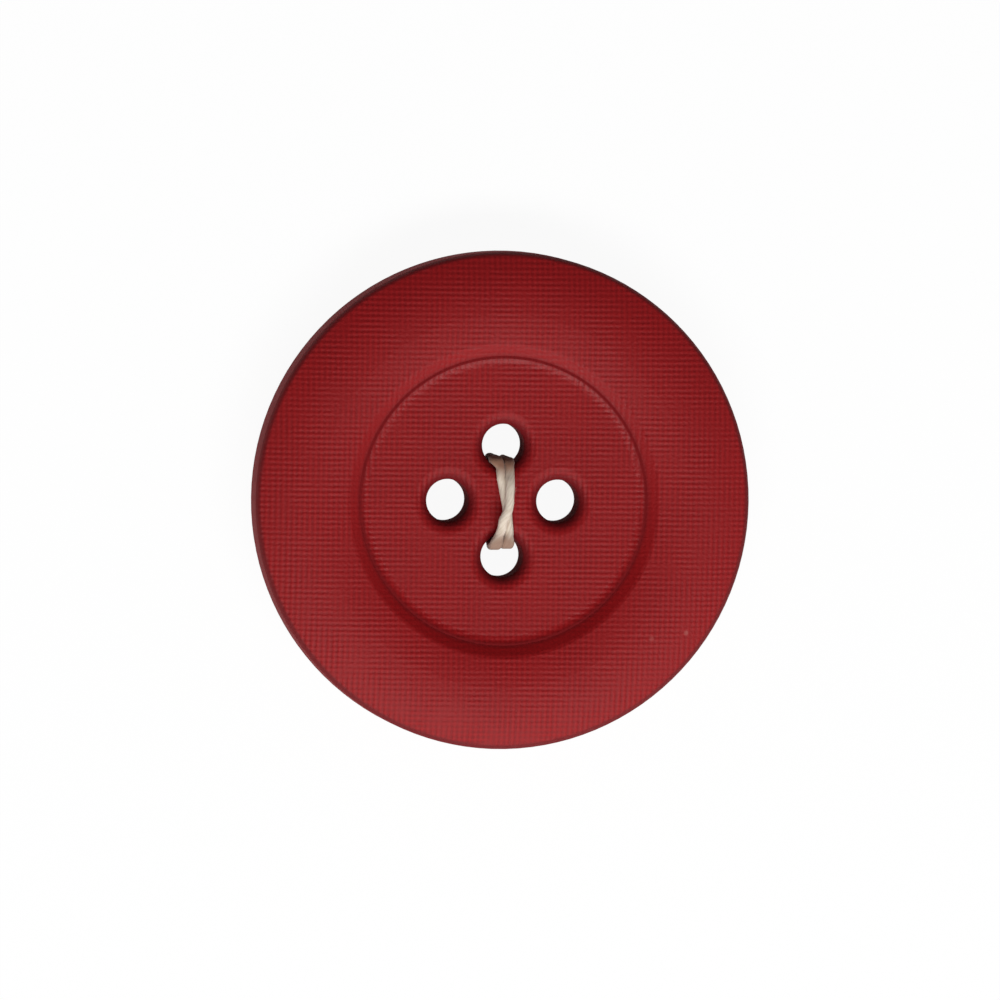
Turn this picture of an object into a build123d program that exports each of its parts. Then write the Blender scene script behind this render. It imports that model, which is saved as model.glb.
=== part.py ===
from build123d import *
from math import cos, isclose, radians, sin, tan
import os

# A four-hole sew-through button with one doubled stitch of thread.
# Millimetres, front face up (+Z), resting on the ring of its back at z = 0.
# The stitch runs along Y, from the hole at +Y to the hole at -Y.

# Button: overall form
BUTTON_DIAMETER = 28.0
BUTTON_THICKNESS = 4.4
FRONT_EDGE_ROUND = 0.35

# Arched rim: its fall from the crest to the well and to the edge, and where across it the crest lies
RIM_INNER_DROP = 0.17
RIM_OUTER_DROP = 0.73
RIM_CREST_SHARE = 0.33

# Well: a sloped wall down from the rim, a fine turned line at its foot, a cove and a flat floor
WELL_LINE_DIAMETER = 16.1
WELL_LINE_WIDTH = 0.1
WELL_LINE_DEPTH = 0.05
WELL_WALL_WIDTH = 0.64
WELL_TOP_ROUND = 0.5
WELL_COVE_WIDTH = 0.42
WELL_COVE_RISE = 0.1
WELL_DEPTH = 0.62

# Sewing holes
HOLE_COUNT = 4
HOLE_DIAMETER = 2.4
HOLE_CIRCLE_DIAMETER = 6.25
HOLE_EDGE_ROUND = 0.42

# Back: bevelled edge, flat resting ring, shallow hollow with a flat middle round the holes
BACK_BEVEL_WIDTH = 1.7
BACK_BEVEL_HEIGHT = 1.0
BACK_BEVEL_ROUND = 0.8
BACK_RING_WIDTH = 1.5
HOLLOW_DEPTH = 1.2
HOLLOW_FLOOR_MARGIN = 1.65
HOLLOW_ROUND = 1.5

# Thread: two runs side by side that change places once on the front
STRAND_DIAMETER = 0.52
STRAND_GAP = 0.02
STITCH_SHIFT = 0.1

# How far the strands stand off the wall of the hole at -Y, where the stitch is slacker than at +Y
LOWER_SLACK = 0.07

# Where each pass lies in the holes at +Y and -Y, in degrees from their side nearest the axis, to +X
UNDER_ANGLES = (-32.0, 18.5)
OVER_ANGLES = (16.0, -36.0)

# Front route of each pass: across and lift in strand diameters, along in hole circle radii
UNDER_ROUTE_SHARES = (
    (-0.52, 0.5, 0.0),
    (-0.31, 0.23, 0.0),
    (0.13, -0.14, 0.0),
    (0.25, -0.34, 0.0),
    (0.42, -0.5, 0.0),
)
OVER_ROUTE_SHARES = (
    (0.58, 0.48, 0.05),
    (0.46, 0.28, 0.86),
    (0.24, -0.1, 1.1),
    (0.02, -0.24, 1.1),
    (-0.38, -0.36, 0.9),
    (-0.5, -0.5, 0.56),
)

# Knot in the hollow of the back, beside the run between the holes, with two short cut ends
KNOT_FLAT_WIDTH = 1.1
KNOT_LENGTH = 2.9
KNOT_ROUND = 0.3
KNOT_FLOOR_GAP = 0.2
TAIL_LENGTH = 1.6
TAIL_SPLAY = 42.0
TAIL_DROP = 0.12
# How far the strands and the cut ends lie from the knot's middle line, as a share of its flat width
KNOT_LEG_SHARE = 0.25

# Share of the shorter run that an arc of the thread takes up
ARC_RUN_SHARE = 0.45
# How far every cutter reaches past the face that it cuts
OVERRUN = 1.0

# Heights and radii that follow from the sizes above
BUTTON_RADIUS = BUTTON_DIAMETER / 2
HOLE_RADIUS = HOLE_DIAMETER / 2
HOLE_CIRCLE_RADIUS = HOLE_CIRCLE_DIAMETER / 2
WELL_FLOOR_Z = BUTTON_THICKNESS - WELL_DEPTH
STRAND_RADIUS = STRAND_DIAMETER / 2
STRAND_STANDOFF = STRAND_RADIUS + STRAND_GAP
STRAND_FRONT_Z = WELL_FLOOR_Z + STRAND_STANDOFF
STRAND_BACK_Z = HOLLOW_DEPTH - STRAND_STANDOFF
EDGE_ARC_RADIUS = HOLE_EDGE_ROUND + STRAND_STANDOFF
KNOT_HEIGHT = HOLLOW_DEPTH - STRAND_GAP - KNOT_FLOOR_GAP
KNOT_Z = KNOT_FLOOR_GAP + KNOT_HEIGHT / 2


def rounded(profile, corner, radius):
    """The profile with its corner nearest a point rounded."""
    nearest = profile.vertices().sort_by_distance(Vector(*corner))[0]
    return fillet(nearest, radius)


def button_profile():
    """Half section of the button, from its axis outwards, in the XZ plane."""
    line_top = (WELL_LINE_DIAMETER / 2, WELL_FLOOR_Z + WELL_COVE_RISE)
    line_bottom = (line_top[0] + WELL_LINE_WIDTH, line_top[1] - WELL_LINE_DEPTH)
    floor_edge = (line_top[0] - WELL_COVE_WIDTH, WELL_FLOOR_Z)
    well_top = (line_bottom[0] + WELL_WALL_WIDTH, BUTTON_THICKNESS - RIM_INNER_DROP)
    crest_radius = well_top[0] + RIM_CREST_SHARE * (BUTTON_RADIUS - well_top[0])
    crest = (crest_radius, BUTTON_THICKNESS)
    front_edge = (BUTTON_RADIUS, BUTTON_THICKNESS - RIM_OUTER_DROP)
    bevel_top = (BUTTON_RADIUS, BACK_BEVEL_HEIGHT)
    bevel_foot = (BUTTON_RADIUS - BACK_BEVEL_WIDTH, 0)
    hollow_mouth = (bevel_foot[0] - BACK_RING_WIDTH, 0)
    hollow_floor = (HOLE_CIRCLE_RADIUS + HOLE_RADIUS + HOLLOW_FLOOR_MARGIN, HOLLOW_DEPTH)

    outline = Curve() + [
        Line((0, WELL_FLOOR_Z), floor_edge),
        TangentArc(floor_edge, line_top, tangent=(1, 0)),
        Polyline(line_top, line_bottom, well_top),
        TangentArc(crest, well_top, tangent=(-1, 0)),
        TangentArc(crest, front_edge, tangent=(1, 0)),
        Polyline(front_edge, bevel_top, bevel_foot, hollow_mouth, hollow_floor, (0, HOLLOW_DEPTH)),
        Line((0, HOLLOW_DEPTH), (0, WELL_FLOOR_Z)),
    ]
    profile = make_face(outline)
    profile = rounded(profile, well_top, WELL_TOP_ROUND)
    profile = rounded(profile, front_edge, FRONT_EDGE_ROUND)
    profile = rounded(profile, bevel_top, BACK_BEVEL_ROUND)
    profile = rounded(profile, bevel_foot, BACK_BEVEL_ROUND)
    profile = rounded(profile, hollow_mouth, HOLLOW_ROUND)
    profile = rounded(profile, hollow_floor, HOLLOW_ROUND)
    return Plane.XZ * profile


def make_button():
    """The turned disc with its four sewing holes, their edges rounded on both faces."""
    disc = revolve(button_profile(), Axis.Z)
    drill = Pos(0, 0, BUTTON_THICKNESS / 2) * Cylinder(HOLE_RADIUS, BUTTON_THICKNESS + 2 * OVERRUN)
    disc -= PolarLocations(HOLE_CIRCLE_RADIUS, HOLE_COUNT) * drill
    hole_edges = disc.edges().filter_by(GeomType.CIRCLE)
    hole_edges = hole_edges.filter_by(lambda edge: isclose(edge.radius, HOLE_RADIUS))
    return fillet(hole_edges, HOLE_EDGE_ROUND)


def place_in_hole(side, angle, slack):
    """Where a strand goes through the hole at +Y (side 1) or -Y (side -1), beside the hole's wall."""
    reach = HOLE_RADIUS - STRAND_STANDOFF - slack
    x = reach * sin(radians(angle))
    y = HOLE_CIRCLE_RADIUS - reach * cos(radians(angle))
    return x, side * y


def front_run(angles, shares):
    """Corner points of one pass, up through the hole at +Y, across the front and down the hole at -Y."""
    upper_x, upper_y = place_in_hole(1, angles[0], 0)
    lower_x, lower_y = place_in_hole(-1, angles[1], LOWER_SLACK)
    front = [
        (
            STITCH_SHIFT + across * STRAND_DIAMETER,
            along * HOLE_CIRCLE_RADIUS,
            STRAND_FRONT_Z + lift * STRAND_DIAMETER,
        )
        for across, along, lift in shares
    ]
    return [
        (upper_x, upper_y, STRAND_BACK_Z),
        (upper_x, upper_y, STRAND_FRONT_Z),
        *front,
        (lower_x, lower_y, STRAND_FRONT_Z),
        (lower_x, lower_y, STRAND_BACK_Z),
    ]


def knot_middle():
    """How far towards +X the knot lies, clear of the run of thread between the holes."""
    run_x = max(place_in_hole(-1, OVER_ANGLES[1], LOWER_SLACK)[0], place_in_hole(1, UNDER_ANGLES[0], 0)[0])
    return run_x + STRAND_STANDOFF + (KNOT_FLAT_WIDTH + KNOT_HEIGHT) / 2


def arc_radii(route):
    """Radius of the arc at each inner corner: the hole edge's own size, or as large as the runs allow."""
    points = [Vector(*point) for point in route]
    radii = []
    for before, corner, after in zip(points, points[1:], points[2:]):
        incoming = corner - before
        outgoing = after - corner
        half_turn = radians(incoming.get_angle(outgoing)) / 2
        largest = ARC_RUN_SHARE * min(incoming.length, outgoing.length) / tan(half_turn)
        upright = incoming.X == incoming.Y == 0 or outgoing.X == outgoing.Y == 0
        radii.append(min(largest, EDGE_ARC_RADIUS) if upright else largest)
    return radii


def make_strand(route):
    """The round thread along a route of straight runs joined by tangent arcs."""
    radii = arc_radii(route)
    path = FilletPolyline(*route, radius=radii)
    strand = sweep(Plane(path @ 0, z_dir=path % 0) * Circle(STRAND_RADIUS), path=path)
    expected = Circle(STRAND_RADIUS).area * path.length
    print("strand arcs", [round(radius, 2) for radius in radii])
    print("strand volume", round(strand.volume, 4), "section times length", round(expected, 4))
    return strand


def make_knot():
    """The flat knot behind the web, a rounded barrel along the stitch."""
    section = Plane.XZ * SlotCenterToCenter(KNOT_FLAT_WIDTH, KNOT_HEIGHT)
    barrel = extrude(section, KNOT_LENGTH / 2, both=True)
    barrel = fillet(barrel.edges().filter_by(Plane.XZ), KNOT_ROUND)
    return Pos(knot_middle(), 0, KNOT_Z) * barrel


def make_tail(side):
    """A short cut end that leaves the knot towards +Y (side 1) or -Y (side -1) and slants aside."""
    across = knot_middle() + KNOT_LEG_SHARE * KNOT_FLAT_WIDTH
    start = Vector(across, side * (KNOT_LENGTH / 2 - KNOT_ROUND), KNOT_Z - TAIL_DROP)
    aim = Vector(sin(radians(TAIL_SPLAY)), side * cos(radians(TAIL_SPLAY)), 0)
    return extrude(Plane(start, z_dir=aim) * Circle(STRAND_RADIUS), KNOT_ROUND + TAIL_LENGTH)


def make_thread():
    """The whole thread: one strand twice through the holes, the knot of its ends and its two tails."""
    across = knot_middle() - KNOT_LEG_SHARE * KNOT_FLAT_WIDTH
    knot_end = KNOT_LENGTH / 2 - KNOT_ROUND
    route = [
        (across, knot_end, KNOT_Z),
        *front_run(OVER_ANGLES, OVER_ROUTE_SHARES),
        *front_run(UNDER_ANGLES, UNDER_ROUTE_SHARES),
        (across, -knot_end, KNOT_Z),
    ]
    return make_knot() + make_strand(route) + make_tail(1) + make_tail(-1)


def main():
    os.makedirs("parts", exist_ok=True)
    export_step(make_button(), "parts/button.step")
    export_step(make_thread(), "parts/thread.step")


main()
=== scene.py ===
"""Looks of a red four-hole sew-through button and of the cotton stitch that it holds.

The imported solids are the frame. The button keeps its own solid and gets its finish here. The plain solid of
the thread is replaced by a plied yarn on the same route, with a flat knot and two cut ends behind.
"""

import logging
import math
import random
from dataclasses import dataclass
from enum import Enum

import bpy
import numpy as np
from mathutils import Matrix, Vector


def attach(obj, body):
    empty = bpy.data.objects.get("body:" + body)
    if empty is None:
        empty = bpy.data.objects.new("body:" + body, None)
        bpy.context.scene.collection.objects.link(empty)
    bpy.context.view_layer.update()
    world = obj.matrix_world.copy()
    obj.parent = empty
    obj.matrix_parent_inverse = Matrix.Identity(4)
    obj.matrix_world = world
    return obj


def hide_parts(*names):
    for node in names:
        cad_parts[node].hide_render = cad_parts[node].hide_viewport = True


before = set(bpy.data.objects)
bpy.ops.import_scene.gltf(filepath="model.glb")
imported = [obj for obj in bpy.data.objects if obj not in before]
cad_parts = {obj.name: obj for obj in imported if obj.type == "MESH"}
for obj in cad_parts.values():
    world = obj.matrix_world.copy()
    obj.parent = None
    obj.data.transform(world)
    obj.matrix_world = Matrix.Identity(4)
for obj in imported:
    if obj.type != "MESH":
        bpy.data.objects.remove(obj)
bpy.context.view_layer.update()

MM = 0.001
FULL_TURN = 2 * math.pi
PHOTO_PIXELS = 1000
LOG = logging.getLogger("button")

# From the middle of the button to the axis of each hole
HOLE_REACH = 3.125 * MM
# Middle of a level that goes from 0 to 1
MIDDLE = 0.5
# What is kept of each axis when a height is left out
WITHOUT_HEIGHT = (1.0, 1.0, 0.0)

Socket = bpy.types.NodeSocket
Colour = tuple[float, float, float]
Point = tuple[float, float, float]
Route = tuple[Point, ...]
# The least and the most of a value
Range = tuple[float, float]
# The values that give share 0 and share 1
Ramp = tuple[float, float]


class Twist(Enum):
    """Which way the plies of a yarn turn, seen along it."""

    S = -1.0
    Z = 1.0


class Side(Enum):
    """The end of the stitch that a loop of the knot comes from."""

    UPPER = 1.0
    LOWER = -1.0


class Slope(Enum):
    """How a share goes from 0 to 1."""

    SMOOTH = "SMOOTHSTEP"
    STRAIGHT = "LINEAR"


class NodeSheet:
    """A node tree and the short calls that fill it."""

    # Places of the colour sockets on a mix node
    MIX_FIRST = 6
    MIX_SECOND = 7
    MIX_RESULT = 2

    def __init__(self, tree: bpy.types.NodeTree) -> None:
        """Empties the tree."""
        self.tree = tree
        self.tree.nodes.clear()

    def add(
        self, kind: str, inputs: dict[str | int, object] | None = None, **settings: object
    ) -> bpy.types.Node:
        """Adds one node.

        Args:
            kind: Blender's type name of the node.
            inputs: Value, or output socket to link, for each named or numbered input.
            settings: Properties of the node itself.

        Returns:
            The new node.
        """
        node = self.tree.nodes.new(kind)
        for name, value in settings.items():
            setattr(node, name, value)
        for socket, value in (inputs or {}).items():
            self.feed(node.inputs[socket], value)
        return node

    def feed(self, socket: Socket, value: object) -> None:
        """Links an output socket to an input, or sets the input's own value.

        Args:
            socket: The input.
            value: An output socket, a number, a colour or a vector.
        """
        if isinstance(value, Socket):
            self.tree.links.new(value, socket)
        elif socket.type == "RGBA" and len(value) == 3:
            socket.default_value = (*value, 1.0)
        else:
            socket.default_value = value

    def math(self, operation: str, first: object, second: object = 0.0) -> Socket:
        """Adds a math node.

        Args:
            operation: Blender's name of the operation.
            first: First number or socket.
            second: Second number or socket.

        Returns:
            The result's socket.
        """
        node = self.add("ShaderNodeMath", {0: first, 1: second}, operation=operation)
        return node.outputs[0]

    def vector(self, operation: str, first: object, second: object = (0.0, 0.0, 0.0)) -> Socket:
        """Adds a vector math node that gives a vector.

        Args:
            operation: Blender's name of the operation.
            first: First vector or socket.
            second: Second vector or socket.

        Returns:
            The result's socket.
        """
        node = self.add("ShaderNodeVectorMath", {0: first, 1: second}, operation=operation)
        return node.outputs[0]

    def measure(self, operation: str, first: object, second: object = (0.0, 0.0, 0.0)) -> Socket:
        """Adds a vector math node that gives a number, such as a length or a distance.

        Args:
            operation: Blender's name of the operation.
            first: First vector or socket.
            second: Second vector or socket.

        Returns:
            The number's socket.
        """
        node = self.add("ShaderNodeVectorMath", {0: first, 1: second}, operation=operation)
        return node.outputs["Value"]

    def axis(self, vector: object, name: str) -> Socket:
        """One of the three numbers of a vector, by its axis."""
        return self.add("ShaderNodeSeparateXYZ", {0: vector}).outputs[name]

    def bump(self, height: object, distance: float) -> Socket:
        """The normal of a surface with a height, where height 1 stands for a distance in metres."""
        node = self.add("ShaderNodeBump", {"Height": height, "Distance": distance, "Strength": 1.0})
        return node.outputs["Normal"]

    def noise(self, place: object, scale: object, detail: float = 2.0) -> Socket:
        """Adds a noise texture.

        Args:
            place: Socket of the places that it is read at.
            scale: Number or socket of the noise's cells in one unit of those places.
            detail: Octaves of finer noise.

        Returns:
            The socket of the noise's value, from 0 to 1.
        """
        node = self.add("ShaderNodeTexNoise", {"Vector": place, "Scale": scale, "Detail": detail})
        return node.outputs["Fac"]

    def mix_colours(self, share: object, first: object, second: object) -> Socket:
        """Mixes two colours.

        Args:
            share: Share of the second colour.
            first: Colour or socket at share 0.
            second: Colour or socket at share 1.

        Returns:
            The socket of the mixed colour.
        """
        node = self.add("ShaderNodeMix", data_type="RGBA", clamp_factor=True)
        self.feed(node.inputs["Factor"], share)
        self.feed(node.inputs[self.MIX_FIRST], first)
        self.feed(node.inputs[self.MIX_SECOND], second)
        return node.outputs[self.MIX_RESULT]

    def ramp(self, value: object, ends: Ramp, slope: Slope = Slope.SMOOTH) -> Socket:
        """Maps a value to a share that stays within 0 and 1.

        Args:
            value: Number or socket.
            ends: The values that give share 0 and share 1.
            slope: How the share goes between them.

        Returns:
            The share's socket.
        """
        inputs = {"Value": value, "From Min": ends[0], "From Max": ends[1]}
        return self.add("ShaderNodeMapRange", inputs, interpolation_type=slope.value).outputs["Result"]

    def toned(
        self,
        group: bpy.types.NodeTree,
        colour: Socket,
        place: Socket,
        scale: float,
        amount: float,
    ) -> Socket:
        """Adds the shared group that varies a colour.

        Args:
            group: The group, from uneven_tone_group.
            colour: Socket of the even colour.
            place: Socket of the place on the object.
            scale: Patches in one unit of those places.
            amount: How far the patches swing, as a share of the colour.

        Returns:
            The socket of the varied colour.
        """
        node = self.add("ShaderNodeGroup", node_tree=group)
        for label, value in {"Colour": colour, "Place": place, "Scale": scale, "Amount": amount}.items():
            self.feed(node.inputs[label], value)
        return node.outputs["Colour"]


def new_material(name: str) -> tuple[bpy.types.Material, NodeSheet]:
    """A material with an empty node tree.

    Args:
        name: The material's name.

    Returns:
        The material and its sheet of nodes.
    """
    material = bpy.data.materials.new(name)
    material.use_nodes = True
    return material, NodeSheet(material.node_tree)


def new_group(
    name: str, inputs: dict[str, str], outputs: dict[str, str]
) -> tuple[bpy.types.NodeTree, NodeSheet]:
    """A shader node group with its outer sockets.

    Args:
        name: The group's name.
        inputs: Socket kind for each input's name.
        outputs: Socket kind for each output's name.

    Returns:
        The group and its sheet of nodes.
    """
    group = bpy.data.node_groups.new(name, "ShaderNodeTree")
    for direction, sockets in (("INPUT", inputs), ("OUTPUT", outputs)):
        for label, kind in sockets.items():
            group.interface.new_socket(label, in_out=direction, socket_type=kind)
    return group, NodeSheet(group)


def uneven_tone_group() -> bpy.types.NodeTree:
    """The group that lightens and darkens a colour in soft patches, as dye and pigment do.

    Returns:
        The group, with inputs Colour, Place, Scale and Amount and the output Colour.
    """
    group, sheet = new_group(
        "uneven_tone",
        {
            "Colour": "NodeSocketColor",
            "Place": "NodeSocketVector",
            "Scale": "NodeSocketFloat",
            "Amount": "NodeSocketFloat",
        },
        {"Colour": "NodeSocketColor"},
    )
    given = sheet.add("NodeGroupInput").outputs
    patches = sheet.noise(given["Place"], given["Scale"])
    swing = sheet.math("DIVIDE", sheet.math("SUBTRACT", patches, MIDDLE), MIDDLE)
    level = sheet.math("ADD", sheet.math("MULTIPLY", swing, given["Amount"]), 1.0)
    scaled = sheet.add("ShaderNodeVectorMath", {0: given["Colour"], "Scale": level}, operation="SCALE")
    sheet.add("NodeGroupOutput", {"Colour": scaled.outputs[0]})
    return group


@dataclass(frozen=True)
class RedPlastic:
    """Cast red plastic with a satin face and a fine cross-ruled grain.

    It is smoother in a turned band round the well and duller on steep walls. Painted shade darkens the turned
    line at the foot of the well, the hole edges and the outer edge and side wall, and two specks of dust lie
    on the rim. A shallow relief fills the step in the turned line and adds the dishes that wear has left
    round the holes.
    """

    # Colours
    red: Colour = (0.220, 0.0010, 0.0026)
    pale_red: Colour = (0.308, 0.0036, 0.0054)
    # Painted shade for the turned line, the hole edges and the outer edge and side wall
    shade_red: Colour = (0.120, 0.0010, 0.0030)
    dust: Colour = (0.34, 0.06, 0.055)
    tone_patch: float = 4.0 * MM
    tone_amount: float = 0.06

    # Gloss
    gloss_level: float = 0.26
    face_roughness: float = 0.6
    wall_roughness: float = 0.84
    hole_roughness: float = 1.0
    turned_roughness: float = 0.48
    turned_radius: float = 8.15 * MM
    turned_band: Ramp = (0.65 * MM, 0.5 * MM)
    line_radius: float = 8.10 * MM
    line_band: Ramp = (0.12 * MM, 0.06 * MM)
    steep_upright: Ramp = (0.65, 0.2)
    roughness_swing: float = 0.08

    # Grain and fine unevenness
    grain_pitch: float = 0.3 * MM
    grain_height: float = 0.023 * MM
    grain_fade: Ramp = (0.1, 0.8)
    grain_upright: Ramp = (0.75, 0.97)
    across_share: float = 1.3
    across_patch: float = 1.28 * MM
    along_share: float = 1.0
    along_patch: float = 1.6 * MM
    satin_patch: float = 0.16 * MM
    satin_detail: float = 3.0
    satin_share: float = 1.2

    # Turned line at the foot of the well: painted shade in its crease, and a relief that fills its step
    crease_radius: float = 8.11 * MM
    crease_band: Ramp = (0.28 * MM, 0.0)
    crease_shade_share: float = 0.6
    step_fill: float = 0.075 * MM
    step_edge: Ramp = (8.05 * MM, 8.15 * MM)

    # Holes: painted shade on their edges, and dishes in relief round them
    hole_edge: Ramp = (1.75 * MM, 1.32 * MM)
    hole_shade_share: float = 0.8
    dish_depth: float = 0.16 * MM
    dish_edge: Ramp = (1.30 * MM, 1.95 * MM)

    # Outer edge, side wall and front, with painted shade on the edge and wall
    outer_edge: Ramp = (13.66 * MM, 13.84 * MM)
    edge_shade_share: float = 0.85
    wall_shade_share: float = 0.4
    edge_upright: Ramp = (0.05, 0.5)
    front_heights: Ramp = (1.4 * MM, 3.0 * MM)

    # Dust
    specks: tuple[Point, ...] = ((10.46 * MM, -7.36 * MM, 4.14 * MM), (8.46 * MM, -7.67 * MM, 4.36 * MM))
    speck_shares: tuple[float, ...] = (1.0, 0.5)
    speck_edge: Ramp = (0.2 * MM, 0.06 * MM)

    def grain(self, sheet: NodeSheet, place: Socket) -> Socket:
        """Two sets of fine ruled lines on the level faces of the front, which fade in and out in patches.

        Args:
            sheet: The material's nodes.
            place: Socket of the place on the button, in metres.

        Returns:
            The socket of the grain's level, which swings about MIDDLE.
        """
        ruled = []
        for axis, share, patch in (
            ("X", self.across_share, self.across_patch),
            ("Y", self.along_share, self.along_patch),
        ):
            phase = sheet.math("MULTIPLY", sheet.axis(place, axis), FULL_TURN / self.grain_pitch)
            level = sheet.math("MULTIPLY", sheet.math("SINE", phase), share)
            strength = sheet.ramp(sheet.noise(place, 1 / patch), self.grain_fade)
            ruled.append(sheet.math("MULTIPLY", level, strength))
        both = sheet.math("MULTIPLY", sheet.math("ADD", *ruled), 1 / (self.across_share + self.along_share))
        on_level = sheet.math("MULTIPLY", both, sheet.ramp(self.upright(sheet), self.grain_upright))
        return sheet.math("ADD", on_level, MIDDLE)

    def upright(self, sheet: NodeSheet) -> Socket:
        """How far the surface faces up, from -1 on the back to 1 on the front."""
        return sheet.axis(sheet.add("ShaderNodeTexCoord").outputs["Normal"], "Z")

    def from_middle(self, sheet: NodeSheet, place: Socket) -> Socket:
        """Distance from the button's axis.

        Args:
            sheet: The material's nodes.
            place: Socket of the place on the button, in metres.

        Returns:
            The distance's socket.
        """
        return sheet.measure("LENGTH", sheet.vector("MULTIPLY", place, WITHOUT_HEIGHT))

    def from_hole(self, sheet: NodeSheet, place: Socket) -> Socket:
        """Distance from the axis of the nearest hole, with the four holes folded onto one.

        Args:
            sheet: The material's nodes.
            place: Socket of the place on the button, in metres.

        Returns:
            The distance's socket.
        """
        folded = sheet.vector("ABSOLUTE", place)
        across = sheet.axis(folded, "X")
        along = sheet.axis(folded, "Y")
        longer = sheet.math("MAXIMUM", across, along)
        shorter = sheet.math("MINIMUM", across, along)
        turned = sheet.add("ShaderNodeCombineXYZ", {"X": longer, "Y": shorter}).outputs[0]
        return sheet.measure("DISTANCE", turned, (HOLE_REACH, 0.0, 0.0))

    def in_front(self, sheet: NodeSheet, place: Socket) -> Socket:
        """Mask of the front half of the button, from 0 to 1."""
        return sheet.ramp(sheet.axis(place, "Z"), self.front_heights)

    def ring(self, sheet: NodeSheet, place: Socket, radius: float, band: Ramp) -> Socket:
        """Mask of a ring on the front, round the button's axis.

        Args:
            sheet: The material's nodes.
            place: Socket of the place on the button, in metres.
            radius: The ring's middle radius.
            band: Distances from that radius at which the mask is 0 and 1.

        Returns:
            The mask's socket, from 0 to 1.
        """
        off = sheet.math("ABSOLUTE", sheet.math("SUBTRACT", self.from_middle(sheet, place), radius))
        return sheet.math("MULTIPLY", sheet.ramp(off, band), self.in_front(sheet, place))

    def with_painted_shade(self, sheet: NodeSheet, place: Socket, colour: Socket) -> Socket:
        """Paints shade into a colour along the turned line, on the edges of the holes and on the outer edge
        and wall.

        Args:
            sheet: The material's nodes.
            place: Socket of the place on the button, in metres.
            colour: Socket of the colour without it.

        Returns:
            The socket of the colour with it.
        """
        # Painted shade: the crease, the hole edges and the outer edge and wall are mixed towards a darker red
        in_crease = self.ring(sheet, place, self.crease_radius, self.crease_band)
        crease = sheet.math("MULTIPLY", in_crease, self.crease_shade_share)
        by_hole = sheet.ramp(self.from_hole(sheet, place), self.hole_edge)
        hole = sheet.math("MULTIPLY", by_hole, self.hole_shade_share)
        rounded = sheet.ramp(self.upright(sheet), self.edge_upright)
        above_wall = sheet.math("MULTIPLY", rounded, self.edge_shade_share - self.wall_shade_share)
        edge_share = sheet.math("ADD", above_wall, self.wall_shade_share)
        outside = sheet.ramp(self.from_middle(sheet, place), self.outer_edge)
        edge = sheet.math("MULTIPLY", outside, edge_share)
        share = sheet.math("MAXIMUM", crease, sheet.math("MAXIMUM", hole, edge))
        return sheet.mix_colours(share, colour, self.shade_red)

    def relief(self, sheet: NodeSheet, place: Socket) -> Socket:
        """Height of the fill in the step of the turned line and of the dishes round the holes.

        Args:
            sheet: The material's nodes.
            place: Socket of the place on the button, in metres.

        Returns:
            The height's socket, in millimetres.
        """
        past_step = sheet.ramp(self.from_middle(sheet, place), self.step_edge, Slope.STRAIGHT)
        filled = sheet.math("MULTIPLY", past_step, self.step_fill / MM)
        step = sheet.math("MULTIPLY", filled, self.in_front(sheet, place))
        past_dish = sheet.ramp(self.from_hole(sheet, place), self.dish_edge)
        dish = sheet.math("MULTIPLY", past_dish, self.dish_depth / MM)
        return sheet.math("ADD", step, dish)

    def dusty(self, sheet: NodeSheet, place: Socket, colour: Socket) -> Socket:
        """Lays the specks of dust over a colour.

        Args:
            sheet: The material's nodes.
            place: Socket of the place on the button, in metres.
            colour: Socket of the colour without them.

        Returns:
            The socket of the colour with them.
        """
        for speck, share in zip(self.specks, self.speck_shares):
            near = sheet.ramp(sheet.measure("DISTANCE", place, speck), self.speck_edge)
            cover = sheet.math("MULTIPLY", near, share)
            colour = sheet.mix_colours(cover, colour, self.dust)
        return colour

    def roughness(self, sheet: NodeSheet, place: Socket, satin: Socket) -> Socket:
        """Roughness that is finely uneven, least round the well and most in the turned line and the holes.

        Args:
            sheet: The material's nodes.
            place: Socket of the place on the button, in metres.
            satin: Socket of the fine noise.

        Returns:
            The socket of the roughness.
        """
        turned = self.ring(sheet, place, self.turned_radius, self.turned_band)
        smoother = sheet.math("MULTIPLY", turned, self.turned_roughness - self.face_roughness)
        steep = sheet.ramp(sheet.math("ABSOLUTE", self.upright(sheet)), self.steep_upright)
        in_line = self.ring(sheet, place, self.line_radius, self.line_band)
        outside = sheet.ramp(self.from_middle(sheet, place), self.outer_edge)
        by_wall = sheet.math("MULTIPLY", outside, self.wall_roughness - self.hole_roughness)
        added = sheet.math("ADD", by_wall, self.hole_roughness - self.face_roughness)
        duller = sheet.math("MULTIPLY", sheet.math("MAXIMUM", steep, in_line), added)
        level = sheet.math("ADD", sheet.math("ADD", smoother, duller), self.face_roughness)
        swing = sheet.math("MULTIPLY", sheet.math("SUBTRACT", satin, MIDDLE), self.roughness_swing)
        return sheet.math("ADD", level, swing)

    def material(self, uneven_tone: bpy.types.NodeTree) -> bpy.types.Material:
        """The finished material.

        Args:
            uneven_tone: The shared group that varies a colour.

        Returns:
            The material.
        """
        material, sheet = new_material("red_plastic")
        place = sheet.add("ShaderNodeTexCoord").outputs["Object"]
        grain = self.grain(sheet, place)
        ruled_red = sheet.mix_colours(grain, self.red, self.pale_red)
        toned = sheet.toned(uneven_tone, ruled_red, place, 1 / self.tone_patch, self.tone_amount)
        satin = sheet.noise(place, 1 / self.satin_patch, self.satin_detail)
        fine = sheet.math("ADD", grain, sheet.math("MULTIPLY", satin, self.satin_share))
        fine_height = sheet.math("MULTIPLY", fine, self.grain_height / MM)
        height = sheet.math("ADD", fine_height, self.relief(sheet, place))
        surface = sheet.add(
            "ShaderNodeBsdfPrincipled",
            {
                "Base Color": self.dusty(sheet, place, self.with_painted_shade(sheet, place, toned)),
                "Roughness": self.roughness(sheet, place, satin),
                "Specular IOR Level": self.gloss_level,
                "Normal": sheet.bump(height, MM),
            },
        )
        sheet.add("ShaderNodeOutputMaterial", {"Surface": surface.outputs[0]})
        return material


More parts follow.
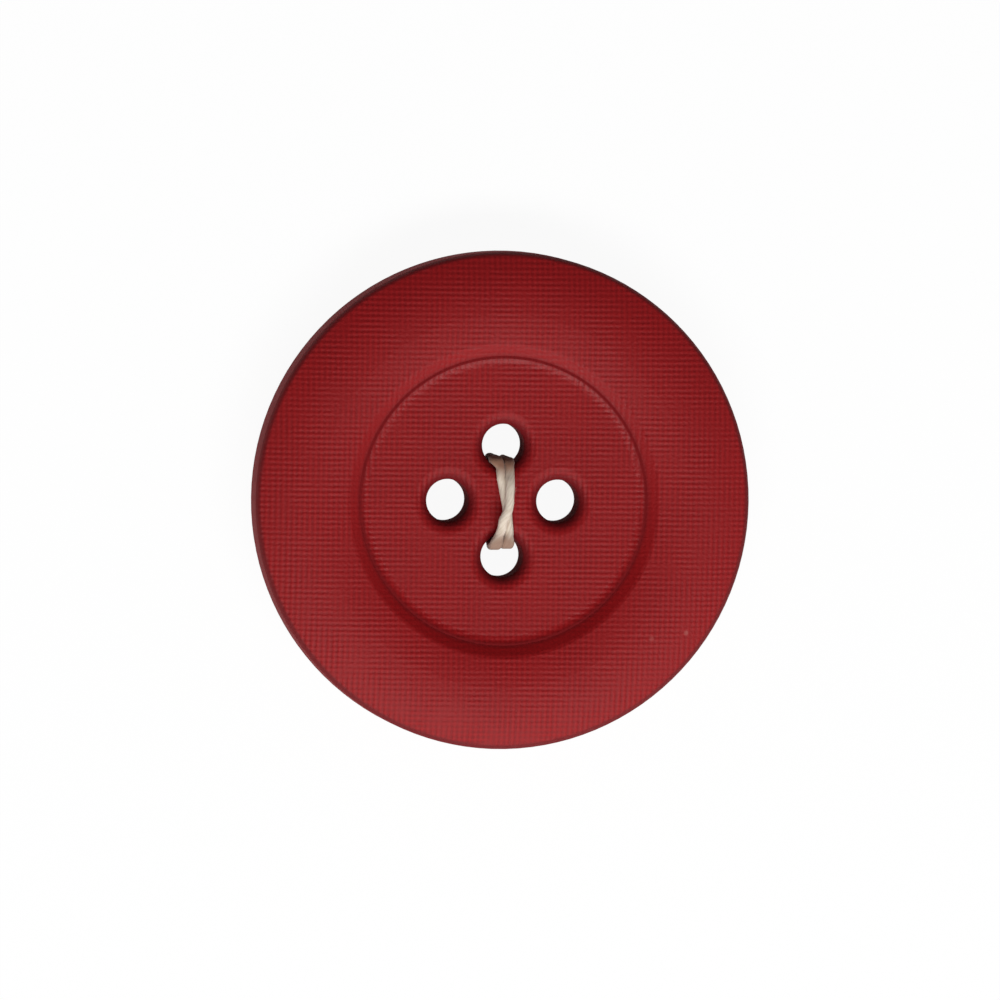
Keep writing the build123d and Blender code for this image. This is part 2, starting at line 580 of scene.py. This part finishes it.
@dataclass(frozen=True)
class CottonThread:
    """Undyed cotton sewing thread: pale fibres with darker ones between them, and painted shade where it goes
    into the holes.
    """

    # Colours
    cream: Colour = (0.80, 0.70, 0.585)
    shaded: Colour = (0.62, 0.52, 0.41)
    # Painted shade, with a painted red bounce off the button, on the thread inside the holes
    hole_shade_brown: Colour = (0.24, 0.12, 0.078)
    tone_patch: float = 1.4 * MM
    tone_amount: float = 0.09

    # Painted shade in the holes, by the distance from the axis of the hole
    upper_shade_reach: Ramp = (2.15 * MM, 1.05 * MM)
    lower_shade_reach: Ramp = (1.62 * MM, 0.85 * MM)
    lower_shade_share: float = 0.85

    # Gloss
    roughness: float = 0.9
    gloss_level: float = 0.2
    sheen: float = 0.2

    # Fibres, with their length and width in millimetres of the straightened yarn
    streak_length: float = 0.6
    streak_width: float = 0.12
    streak_height: float = 0.012 * MM
    streak_detail: float = 3.0
    streak_levels: Ramp = (0.25, 0.65)

    def in_hole_shade_share(self, sheet: NodeSheet, place: Socket) -> Socket:
        """How far painted shade darkens the thread where it goes into the holes, most at the upper one.

        Args:
            sheet: The material's nodes.
            place: Socket of the place on the object, in metres.

        Returns:
            The share's socket, from 0 to 1.
        """
        level = sheet.vector("MULTIPLY", sheet.vector("ABSOLUTE", place), WITHOUT_HEIGHT)
        away = sheet.measure("DISTANCE", level, (0.0, HOLE_REACH, 0.0))
        above = sheet.math("GREATER_THAN", sheet.axis(place, "Y"), 0.0)
        upper = sheet.math("MULTIPLY", sheet.ramp(away, self.upper_shade_reach), above)
        lower = sheet.math("MULTIPLY", sheet.ramp(away, self.lower_shade_reach), self.lower_shade_share)
        return sheet.math("MAXIMUM", upper, lower)

    def material(self, uneven_tone: bpy.types.NodeTree) -> bpy.types.Material:
        """The finished material, read along the fibres from the yarn's own straightened places.

        Args:
            uneven_tone: The shared group that varies a colour.

        Returns:
            The material.
        """
        material, sheet = new_material("cotton_thread")
        place = sheet.add("ShaderNodeTexCoord").outputs["Object"]
        straight = sheet.add("ShaderNodeAttribute", attribute_name=Yarn.FIBRE_PLACE).outputs["Vector"]
        shares = (1 / self.streak_length, 1 / self.streak_width, 1 / self.streak_width)
        streaks = sheet.noise(sheet.vector("MULTIPLY", straight, shares), 1.0, self.streak_detail)
        fibres = sheet.mix_colours(sheet.ramp(streaks, self.streak_levels), self.shaded, self.cream)
        # Painted shade where the thread goes into the holes
        in_hole_shaded = sheet.mix_colours(self.in_hole_shade_share(sheet, place), fibres, self.hole_shade_brown)
        toned = sheet.toned(uneven_tone, in_hole_shaded, place, 1 / self.tone_patch, self.tone_amount)
        surface = sheet.add(
            "ShaderNodeBsdfPrincipled",
            {
                "Base Color": toned,
                "Roughness": self.roughness,
                "Specular IOR Level": self.gloss_level,
                "Sheen Weight": self.sheen,
                "Normal": sheet.bump(streaks, self.streak_height),
            },
        )
        sheet.add("ShaderNodeOutputMaterial", {"Surface": surface.outputs[0]})
        return material


@dataclass(frozen=True)
class WhiteFloor:
    """A plain white studio floor that keeps a faint shadow and is clear from below."""

    bounce: Colour = (0.8, 0.8, 0.8)
    shadow_share: float = 0.06

    def material(self) -> bpy.types.Material:
        """The finished material.

        Returns:
            The material.
        """
        material, sheet = new_material("white_floor")
        seen = seen_directly(sheet)
        share = self.shadow_share
        colour = sheet.mix_colours(seen, self.bounce, (share, share, share))
        lit = sheet.add("ShaderNodeBsdfDiffuse", {"Color": colour})
        glow = sheet.add("ShaderNodeEmission", {"Strength": sheet.math("MULTIPLY", seen, 1.0 - share)})
        both = sheet.add("ShaderNodeAddShader", {0: lit.outputs[0], 1: glow.outputs[0]})
        clear = sheet.add("ShaderNodeBsdfTransparent")
        below = sheet.add("ShaderNodeNewGeometry").outputs["Backfacing"]
        mixed = sheet.add("ShaderNodeMixShader", {0: below, 1: both.outputs[0], 2: clear.outputs[0]})
        sheet.add("ShaderNodeOutputMaterial", {"Surface": mixed.outputs[0]})
        return material


def seen_directly(sheet: NodeSheet) -> Socket:
    """A mask of the rays that show the background: from the camera, in gloss and through clear things.

    Args:
        sheet: The nodes that it is added to.

    Returns:
        The socket of the mask, 0 or 1.
    """
    path = sheet.add("ShaderNodeLightPath").outputs
    in_gloss = sheet.math("MAXIMUM", path["Is Glossy Ray"], path["Is Transmission Ray"])
    return sheet.math("MAXIMUM", path["Is Camera Ray"], in_gloss)


@dataclass
class Button:
    """The moulded button, which keeps the frame's own solid."""

    node_name: str = "button"

    def dress(self, finish: bpy.types.Material) -> bpy.types.Object:
        """Gives the button its finish.

        Args:
            finish: The red plastic.

        Returns:
            The button's object.
        """
        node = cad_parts[self.node_name]
        node.data.materials.clear()
        node.data.materials.append(finish)
        return node


@dataclass
class Yarn:
    """A plied yarn along a smooth line.

    The plies show as lobes of one closed tube, with shallow grooves between them that wind along it. Every
    vertex keeps its place in the straightened yarn, in millimetres, for the fibres of its finish.
    """

    # Plies
    diameter: float = 0.52 * MM
    plies: int = 3
    pitch: float = 3.4 * MM
    twist: Twist = Twist.Z
    groove_share: float = 0.05
    end_length: float = 0.3 * MM
    end_taper: float = 0.35

    # Fineness of the mesh
    line_order: int = 3
    line_resolution: int = 24
    ring_step: float = 0.04 * MM
    sides: int = 30
    hair_points: int = 7
    hair_sides: int = 5

    # Single fibres, which bend and get thinner
    fibre_radius: float = 0.008 * MM
    fibre_tip_share: float = 0.4
    fibre_bend: float = 0.6
    seed: int = 7

    # Fibres that stand out of the cut ends
    tuft_fibres: int = 22
    tuft_length: float = 0.45 * MM
    tuft_length_shares: Range = (0.4, 1.0)
    tuft_splay: Range = (0.0, 0.35)
    tuft_root_share: float = 0.2
    tuft_width_share: float = 0.55
    tuft_aim_rings: int = 4

    # Fibres that stand off the side
    loose_fibres: int = 26
    loose_length: float = 0.32 * MM
    loose_length_shares: Range = (0.5, 1.0)
    loose_splay: Range = (0.1, 0.35)
    loose_root_share: float = 0.9

    FIBRE_PLACE = "fibre_place"

    def smooth_line(self, route: Route) -> np.ndarray:
        """Reads an evenly stepped line from the route's smooth spline.

        Args:
            route: Control points in millimetres.

        Returns:
            Points in metres, one row each.
        """
        curve = bpy.data.curves.new("thread_route", "CURVE")
        curve.dimensions = "3D"
        curve.resolution_u = self.line_resolution
        spline = curve.splines.new("NURBS")
        spline.points.add(len(route) - 1)
        for control, place in zip(spline.points, route):
            control.co = (*(MM * value for value in place), 1.0)
        spline.order_u = self.line_order
        spline.use_endpoint_u = True
        carrier = bpy.data.objects.new("thread_route", curve)
        traced = bpy.data.meshes.new_from_object(carrier)
        points = np.array([vertex.co for vertex in traced.vertices], float)
        bpy.data.meshes.remove(traced)
        bpy.data.objects.remove(carrier)
        bpy.data.curves.remove(curve)
        reach = np.concatenate([[0.0], np.cumsum(np.linalg.norm(np.diff(points, axis=0), axis=1))])
        stations = np.linspace(0.0, reach[-1], round(reach[-1] / self.ring_step) + 1)
        return np.column_stack([np.interp(stations, reach, points[:, axis]) for axis in range(3)])

    def winding(self, count: int) -> np.ndarray:
        """How far the plies have turned at each ring, in radians."""
        return self.twist.value * FULL_TURN * self.ring_step * np.arange(count) / self.pitch

    def radii(self, count: int) -> np.ndarray:
        """Radius of every corner of every ring: lobes, grooves and the drawn-in cut ends.

        Args:
            count: Rings along the yarn.

        Returns:
            One row for each ring, in metres.
        """
        around = FULL_TURN * np.arange(self.sides) / self.sides
        from_lobe = around[None, :] - self.winding(count)[:, None]
        groove = (1 - np.abs(np.cos(self.plies / 2 * from_lobe))) ** 2
        to_end = self.ring_step * np.minimum(np.arange(count), np.arange(count)[::-1])
        drawn_in = np.clip(1 - to_end / self.end_length, 0.0, 1.0) ** 2
        lobed = self.diameter / 2 * (1 - self.groove_share * groove)
        return lobed * (1 - self.end_taper * drawn_in)[:, None]

    def hair(self, start: np.ndarray, aim: np.ndarray, length: float, chance: random.Random) -> np.ndarray:
        """Centre line of one loose fibre, which bends as it goes.

        Args:
            start: Where it leaves the yarn.
            aim: The way that it leaves.
            length: Its length.
            chance: Source of its bend.

        Returns:
            Points in metres.
        """
        most = self.fibre_bend
        bend = np.array([chance.uniform(-most, most) for _ in range(3)])
        shares = np.linspace(0.0, 1.0, self.hair_points)[:, None]
        return start + length * (shares * aim + shares ** 2 * bend)

    def hairs(self, line: np.ndarray, fuzzy: np.ndarray) -> list[np.ndarray]:
        """Centre lines of the fibres that stand off the yarn and out of its cut ends.

        Args:
            line: The yarn's centre line.
            fuzzy: Numbers of the rings that fibres may stand off.

        Returns:
            One line for each fibre.
        """
        chance = random.Random(self.seed)
        frames = carried_frames(line)
        radius = self.diameter / 2
        lines = []
        for end, inner in ((0, self.tuft_aim_rings), (-1, -1 - self.tuft_aim_rings)):
            outwards = (line[end] - line[inner]) / np.linalg.norm(line[end] - line[inner])
            for _ in range(self.tuft_fibres):
                side = sideways(frames, end, chance)
                off_middle = radius * self.tuft_width_share * math.sqrt(chance.random())
                start = line[end] - outwards * self.tuft_root_share * radius + side * off_middle
                aim = outwards + side * chance.uniform(*self.tuft_splay)
                length = self.tuft_length * chance.uniform(*self.tuft_length_shares)
                lines.append(self.hair(start, aim, length, chance))
        for _ in range(self.loose_fibres):
            ring = int(chance.choice(fuzzy))
            side = sideways(frames, ring, chance)
            forward = (line[ring + 1] - line[ring]) / self.ring_step * chance.choice((-1.0, 1.0))
            aim = forward + side * chance.uniform(*self.loose_splay)
            start = line[ring] + side * radius * self.loose_root_share
            length = self.loose_length * chance.uniform(*self.loose_length_shares)
            lines.append(self.hair(start, aim, length, chance))
        return lines

    def mesh(self, name: str, line: np.ndarray, spread: np.ndarray, fuzzy: np.ndarray) -> bpy.types.Mesh:
        """Builds the yarn as one closed tube, with its loose fibres.

        Args:
            name: The mesh's name.
            line: The yarn's centre line.
            spread: How far each ring is pressed flat and wide along X, as a share.
            fuzzy: Numbers of the rings that fibres may stand off.

        Returns:
            The mesh.
        """
        tubes = TubeMesh()
        tubes.add(line, self.radii(len(line)), self.winding(len(line)), spread)
        for hair in self.hairs(line, fuzzy):
            thin = np.linspace(self.fibre_radius, self.fibre_tip_share * self.fibre_radius, len(hair))
            still = np.zeros(len(hair))
            tubes.add(hair, np.repeat(thin[:, None], self.hair_sides, axis=1), still, still)
        return tubes.finish(name, self.FIBRE_PLACE)


class TubeMesh:
    """Closed tubes gathered into one mesh."""

    # How much thinner a tube gets as it is pressed wide, and how much fuller its two sides
    THINNING_SHARE = 0.5
    FULLNESS_SHARE = 1.6

    def __init__(self) -> None:
        """Starts with no tubes."""
        self.vertices: list[np.ndarray] = []
        self.places: list[np.ndarray] = []
        self.faces: list[tuple[int, ...]] = []
        self.count = 0

    def add(self, line: np.ndarray, radii: np.ndarray, winding: np.ndarray, spread: np.ndarray) -> None:
        """Adds a tube along a line.

        Args:
            line: Centre points in metres.
            radii: Radius of every corner, one row for each of those points.
            winding: How far the fibres have turned round the line at each of them.
            spread: How far the tube is pressed flat and wide along X there, as a share.
        """
        sides = radii.shape[1]
        normals, binormals = carried_frames(line)
        angles = FULL_TURN * np.arange(sides) / sides
        cosines = np.cos(angles)[None, :, None]
        sines = np.sin(angles)[None, :, None]
        across = normals[:, None] * cosines + binormals[:, None] * sines
        widening = spread[:, None]
        wider = np.repeat(1 + widening, sides, axis=1)
        fuller = 1 + self.FULLNESS_SHARE * widening * across[:, :, 0] ** 2
        thinner = (1 - self.THINNING_SHARE * widening) * fuller
        pressed = np.stack([wider, thinner, thinner], axis=-1)
        rings = line[:, None] + across * radii[:, :, None] * pressed
        steps = np.concatenate([[0.0], np.cumsum(np.linalg.norm(np.diff(line, axis=0), axis=1))]) / MM
        turned = angles[None, :] - winding[:, None]
        along = np.repeat(steps[:, None], sides, axis=1)
        straight = np.stack([along, np.cos(turned) * radii / MM, np.sin(turned) * radii / MM], axis=-1)
        self.vertices.append(rings.reshape(-1, 3))
        self.places.append(straight.reshape(-1, 3))
        for ring in range(len(line) - 1):
            start = self.count + ring * sides
            for side in range(sides):
                following = (side + 1) % sides
                near = (start + side, start + following)
                far = (start + sides + following, start + sides + side)
                self.faces.append(near + far)
        last = self.count + (len(line) - 1) * sides
        self.faces.append(tuple(range(self.count + sides - 1, self.count - 1, -1)))
        self.faces.append(tuple(range(last, last + sides)))
        self.count += len(line) * sides

    def finish(self, name: str, place_name: str) -> bpy.types.Mesh:
        """Makes the mesh of all tubes.

        Args:
            name: The mesh's name.
            place_name: Attribute that keeps each vertex's place in the straightened tube.

        Returns:
            The smooth-shaded mesh.
        """
        mesh = bpy.data.meshes.new(name)
        mesh.from_pydata(np.concatenate(self.vertices).tolist(), [], self.faces)
        places = mesh.attributes.new(place_name, "FLOAT_VECTOR", "POINT")
        places.data.foreach_set("vector", np.concatenate(self.places).astype(np.float32).ravel())
        mesh.shade_smooth()
        return mesh


def sideways(frames: tuple[np.ndarray, np.ndarray], ring: int, chance: random.Random) -> np.ndarray:
    """A direction straight off a line.

    Args:
        frames: The two directions across the line, from carried_frames.
        ring: Number of the point on the line.
        chance: Source of the angle round the line.

    Returns:
        The direction, of length 1.
    """
    angle = chance.uniform(0.0, FULL_TURN)
    normals, binormals = frames
    return normals[ring] * math.cos(angle) + binormals[ring] * math.sin(angle)


def carried_frames(line: np.ndarray) -> tuple[np.ndarray, np.ndarray]:
    """Two directions across a line that are carried along it without twisting.

    Args:
        line: Points in metres.

    Returns:
        The first and the second direction at each point.
    """
    tangents = np.gradient(line, axis=0)
    tangents /= np.linalg.norm(tangents, axis=1)[:, None]
    least = np.eye(3)[np.argmin(np.abs(tangents[0]))]
    carried = [np.cross(tangents[0], least)]
    for tangent in tangents[1:]:
        level = carried[-1] - tangent * (carried[-1] @ tangent)
        carried.append(level)
    normals = np.array([normal / np.linalg.norm(normal) for normal in carried])
    return normals, np.cross(tangents, normals)


@dataclass
class Stitch:
    """One thread that goes twice through the upper and lower holes and is tied in a flat knot behind.

    The points repeat the thread's route, in millimetres, with more of them at the hole edges and in the
    knot.
    """

    knot_centre: Point = (0.90, 0.0, 0.63)
    # Half a loop of the knot, from its open end to its bend, which the other half mirrors in X
    knot_half: Route = (
        (0.27, 1.45, 0.24),
        (0.27, 0.92, 0.30),
        (0.29, 0.34, -0.31),
        (0.85, -0.34, -0.31),
        (0.86, -0.92, 0.22),
        (0.46, -1.24, 0.27),
    )
    upper_tail: Route = ((2.60, 2.75, 0.46), (2.10, 2.45, 0.46), (1.50, 2.08, 0.68))
    lower_tail: Route = ((1.45, -1.98, 0.42), (2.00, -2.40, 0.45), (2.50, -2.80, 0.46))
    over_pass: Route = (
        (0.254, 2.241, 0.92),
        (0.254, 2.241, 2.05),
        (0.254, 2.241, 2.93),
        (0.254, 2.241, 4.06),
        (0.310, 1.500, 4.120),
        (0.285, 0.875, 4.507),
        (0.225, -0.312, 4.632),
        (0.070, -0.720, 4.632),
        (-0.120, -1.050, 4.540),
        (-0.120, -1.480, 4.400),
        (-0.250, -1.860, 4.240),
        (-0.460, -2.560, 4.06),
        (-0.470, -2.560, 2.93),
        (-0.440, -2.310, 2.05),
        (-0.450, -2.310, 0.92),
    )
    back_run: Route = ((-0.498, -1.25, 0.92), (-0.490, 1.15, 0.92))
    under_pass: Route = (
        (-0.488, 2.345, 0.92),
        (-0.488, 2.345, 2.05),
        (-0.488, 2.345, 2.93),
        (-0.488, 2.345, 4.06),
        (-0.210, 2.000, 4.06),
        (-0.210, 1.450, 4.06),
        (-0.070, 0.850, 4.06),
        (0.030, 0.300, 4.06),
        (0.180, -0.350, 4.06),
        (0.230, -1.062, 4.06),
        (0.318, -1.562, 4.06),
        (0.260, -2.500, 4.06),
        (0.260, -2.500, 2.93),
        (0.265, -2.390, 2.05),
        (0.270, -2.319, 0.92),
        (0.470, -1.840, 0.52),
    )
    fuzz_above: float = 4.1 * MM
    most_spread: float = 0.42
    spread_reach: Ramp = (1.95 * MM, 2.30 * MM)
    spread_heights: Ramp = (1.9 * MM, 3.4 * MM)

    def loop_at(self, side: Side) -> Route:
        """Places one loop of the flat knot. The lower loop is the upper one turned over.

        Args:
            side: The end of the stitch that the loop comes from.

        Returns:
            The loop's points, in the thread's order.
        """
        mirrored = tuple((-across, along, lift) for across, along, lift in reversed(self.knot_half))
        x, y, z = self.knot_centre
        turned = side.value
        placed = tuple(
            (x + across, y + turned * along, z + turned * lift)
            for across, along, lift in self.knot_half + mirrored
        )
        return placed if side is Side.UPPER else tuple(reversed(placed))

    def route(self) -> Route:
        """The whole thread, from the upper cut end to the lower one."""
        first_half = self.upper_tail + self.loop_at(Side.UPPER) + self.over_pass
        return first_half + self.back_run + self.under_pass + self.loop_at(Side.LOWER) + self.lower_tail

    def spread(self, line: np.ndarray) -> np.ndarray:
        """How far the thread is pressed wide at each ring, which is most where it bends into a hole.

        Args:
            line: The thread's centre line.

        Returns:
            Shares for the rings.
        """
        by_reach = np.interp(np.abs(line[:, 1]), self.spread_reach, (0.0, 1.0))
        by_height = np.interp(line[:, 2], self.spread_heights, (0.0, 1.0))
        return self.most_spread * by_reach * by_height

    def build(self, yarn: Yarn, finish: bpy.types.Material) -> bpy.types.Object:
        """Builds the thread in place of its plain solid.

        Args:
            yarn: The yarn that it is made of.
            finish: The cotton.

        Returns:
            The thread's object.
        """
        line = yarn.smooth_line(self.route())
        fuzzy = np.flatnonzero(line[:, 2] > self.fuzz_above)
        mesh = yarn.mesh("stitch_thread", line, self.spread(line), fuzzy)
        mesh.materials.append(finish)
        piece = bpy.data.objects.new("stitch_thread", mesh)
        bpy.context.scene.collection.objects.link(piece)
        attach(piece, "root")
        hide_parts("thread")
        return piece


@dataclass
class Studio:
    """Camera, lamp, floor and background.

    The camera stands far off, so that the button is seen almost without perspective, a little from its left
    and from above the stitch's upper end.
    """

    # Camera
    pixels_per_mm: float = 17.77
    distance: float = 1.0
    clip_distance: float = 10.0
    sensor: float = 36.0
    from_left: float = math.radians(8.0)
    from_above: float = math.radians(3.0)
    roll: float = math.radians(0.8)
    aim: Point = (-0.01 * MM, -0.012 * MM, 2.5 * MM)

    # Lamp
    key_share: float = 0.87
    key_distance: float = 0.35
    key_azimuth: float = math.radians(-86.0)
    key_elevation: float = math.radians(55.0)
    key_size: tuple[float, float] = (0.4, 0.1)

    # Background
    ceiling: float = 0.12
    horizon: float = 1.0
    back_horizon: float = 0.14
    horizon_band: Range = (math.radians(14.0), math.radians(30.0))
    lamp_side_band: Ramp = (-0.6, 0.5)

    # Floor
    floor_half: float = 2.0
    floor_drop: float = 0.02 * MM

    def camera(self) -> None:
        """Places the camera so that the button has its size and place in the photograph's frame."""
        data = bpy.data.cameras.new("camera")
        field = PHOTO_PIXELS / self.pixels_per_mm * MM
        data.sensor_width = self.sensor
        data.lens = self.sensor * self.distance / field
        data.clip_end = self.clip_distance
        back = Vector((-math.tan(self.from_left), math.tan(self.from_above), 1.0)).normalized()
        level = Vector((0.0, 1.0, 0.0)).cross(back).normalized()
        right = level * math.cos(self.roll) + back.cross(level) * math.sin(self.roll)
        up = back.cross(right)
        eye = Vector(self.aim) + back * self.distance
        turned = Matrix((right, up, back)).transposed().to_4x4()
        camera = bpy.data.objects.new("camera", data)
        camera.matrix_world = Matrix.Translation(eye) @ turned
        bpy.context.scene.collection.objects.link(camera)
        bpy.context.scene.camera = camera

    def key_lamp(self) -> None:
        """Hangs the one soft lamp, which lights a level surface at its share of full light."""
        flat = math.cos(self.key_elevation)
        towards = Vector(
            (
                flat * math.cos(self.key_azimuth),
                flat * math.sin(self.key_azimuth),
                math.sin(self.key_elevation),
            )
        )
        data = bpy.data.lights.new("key", "AREA")
        data.shape = "RECTANGLE"
        data.size, data.size_y = self.key_size
        data.energy = self.key_share * (math.pi * self.key_distance) ** 2 / math.sin(self.key_elevation)
        lamp = bpy.data.objects.new("key", data)
        lamp.location = towards * self.key_distance
        lamp.rotation_euler = (-towards).to_track_quat("-Z", "Y").to_euler()
        bpy.context.scene.collection.objects.link(lamp)

    def background(self) -> None:
        """A background that is white on the lamp's horizon, and dims to the far side and the ceiling."""
        world = bpy.data.worlds.new("studio")
        world.use_nodes = True
        bpy.context.scene.world = world
        sheet = NodeSheet(world.node_tree)
        direction = sheet.add("ShaderNodeTexCoord").outputs["Generated"]
        low, high = (math.sin(angle) for angle in self.horizon_band)
        low_down = sheet.ramp(sheet.axis(direction, "Z"), (high, low))
        lamp_side = (math.cos(self.key_azimuth), math.sin(self.key_azimuth), 0.0)
        towards_lamp = sheet.ramp(sheet.measure("DOT_PRODUCT", direction, lamp_side), self.lamp_side_band)
        lamp_gain = sheet.math("MULTIPLY", towards_lamp, self.horizon - self.back_horizon)
        horizon_gain = sheet.math("ADD", lamp_gain, self.back_horizon - self.ceiling)
        level = sheet.math("ADD", sheet.math("MULTIPLY", horizon_gain, low_down), self.ceiling)
        white = sheet.add("ShaderNodeBackground", {"Color": (1.0, 1.0, 1.0), "Strength": level})
        sheet.add("ShaderNodeOutputWorld", {"Surface": white.outputs[0]})

    def floor(self, finish: bpy.types.Material) -> None:
        """Lays the floor just under the button.

        Args:
            finish: The white floor.
        """
        half = self.floor_half
        corners = [(-half, -half, 0.0), (half, -half, 0.0), (half, half, 0.0), (-half, half, 0.0)]
        mesh = bpy.data.meshes.new("floor")
        mesh.from_pydata(corners, [], [(0, 1, 2, 3)])
        mesh.materials.append(finish)
        floor = bpy.data.objects.new("floor", mesh)
        floor.location.z = -self.floor_drop
        bpy.context.scene.collection.objects.link(floor)


def report(piece: bpy.types.Object) -> None:
    """Logs a finished piece and its count of faces."""
    LOG.info("%s: %d faces", piece.name, len(piece.data.polygons))


def main() -> None:
    """Builds the studio, dresses the button and makes its thread."""
    logging.basicConfig(level=logging.INFO, format="%(name)s: %(message)s")
    bpy.context.scene.view_settings.view_transform = "Standard"
    uneven_tone = uneven_tone_group()
    studio = Studio()
    studio.camera()
    studio.key_lamp()
    studio.background()
    studio.floor(WhiteFloor().material())
    report(Button().dress(RedPlastic().material(uneven_tone)))
    cotton = CottonThread().material(uneven_tone)
    report(Stitch().build(Yarn(), cotton))


if __name__ == "__main__":
    main()
